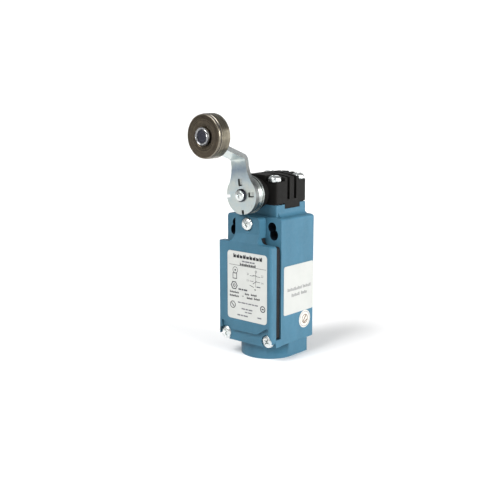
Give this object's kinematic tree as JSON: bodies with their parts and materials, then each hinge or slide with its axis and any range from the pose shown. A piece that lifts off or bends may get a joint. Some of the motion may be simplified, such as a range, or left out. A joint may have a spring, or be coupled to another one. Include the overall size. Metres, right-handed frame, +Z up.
{
  "type": "limit switch",
  "caption": "Side-rotary roller-lever limit switch: insulated body with front cover, turnable head, joggled lever and roller, snap contacts and a threaded conduit entry.",
  "frame": {"origin": "midpoint between the two round mounting holes, on the flat back that lies against the machine", "axes": "+X to the right seen from the cover, +Y out of the back into the mounting surface, +Z up from the conduit entry to the head"},
  "size_m": [0.0302, 0.0513, 0.106],
  "materials": {
    "blue_plastic": "moulded glass-filled plastic, fine satin grain",
    "black_plastic": "moulded plastic, fine satin grain",
    "black_rubber": "plain nitrile rubber",
    "zinc_steel": "zinc plated, lightly brushed",
    "plain_steel": "ground steel",
    "dark_nickel": "dark nickel plate with turning marks",
    "bronze": "sintered bronze",
    "brass": "stamped brass",
    "silver": "silver contact rivets",
    "label_film": "satin printed film",
    "cream_film": "satin film with a ring",
    "amber_plastic": "translucent moulded plastic",
    "cream_plastic": "moulded acetal",
    "red_plastic": "moulded plastic"
  },
  "bodies": {
    "body": {"housing": "blue_plastic", "cover": "blue_plastic", "cover_gasket": "black_rubber", "cover_screws": "zinc_steel", "nameplate": "label_film", "entry_label": "label_film", "round_sticker": "cream_film", "head": "black_plastic", "head_gasket": "black_rubber", "head_screws": "zinc_steel", "shaft_seal": "black_rubber", "shaft_bush": "bronze", "follower_spring": "plain_steel", "contact_base": "black_plastic", "contact_cover": "amber_plastic", "block_screws": "zinc_steel", "nc_contact_left": "brass", "nc_contact_right": "brass", "no_contact_left": "brass", "no_contact_right": "brass", "fixed_tips": "silver", "terminal_clamps": "zinc_steel", "terminal_screws": "zinc_steel", "carriage_spring": "plain_steel"},
    "lever_arm": {"shaft": "plain_steel", "retaining_clip": "plain_steel", "cam": "plain_steel", "cam_pin": "plain_steel", "lever_hub": "zinc_steel", "lever": "zinc_steel", "lever_washer": "plain_steel", "lever_screw": "zinc_steel", "roller_pin": "plain_steel", "roller_washer": "plain_steel"},
    "roller": {"roller": "dark_nickel"},
    "follower": {"follower": "cream_plastic"},
    "carriage": {"carriage": "red_plastic", "nc_bridge": "brass", "no_bridge": "brass", "bridge_tips": "silver", "nc_bridge_spring": "plain_steel", "no_bridge_spring": "plain_steel"}
  },
  "joints": [
    {"name": "lever_swing", "type": "hinge", "parent": "body", "child": "lever_arm", "pos_m": [0, -0.0288, 0.0135], "axis": [0, -1, 0], "range_deg": [-75, 75], "stiffness_Nm_per_rad": 0.1},
    {"name": "roller_spin", "type": "hinge", "parent": "lever_arm", "child": "roller", "pos_m": [-0.0031, -0.04675, 0.03871], "axis": [0, -1, 0], "continuous": true},
    {"name": "follower_travel", "type": "slide", "parent": "body", "child": "follower", "axis": [0, 0, -1], "range_m": [0, 0.0022], "stiffness_N_per_m": 600, "springref_m": -0.003, "deforming": ["follower_spring"]},
    {"name": "carriage_travel", "type": "slide", "parent": "body", "child": "carriage", "axis": [0, 0, -1], "range_m": [0, 0.0022], "stiffness_N_per_m": 300, "springref_m": -0.003, "deforming": ["carriage_spring"]}
  ],
  "couplings": [
    {"joint": "carriage_travel", "follows": "follower_travel", "ratio": 1}
  ]
}
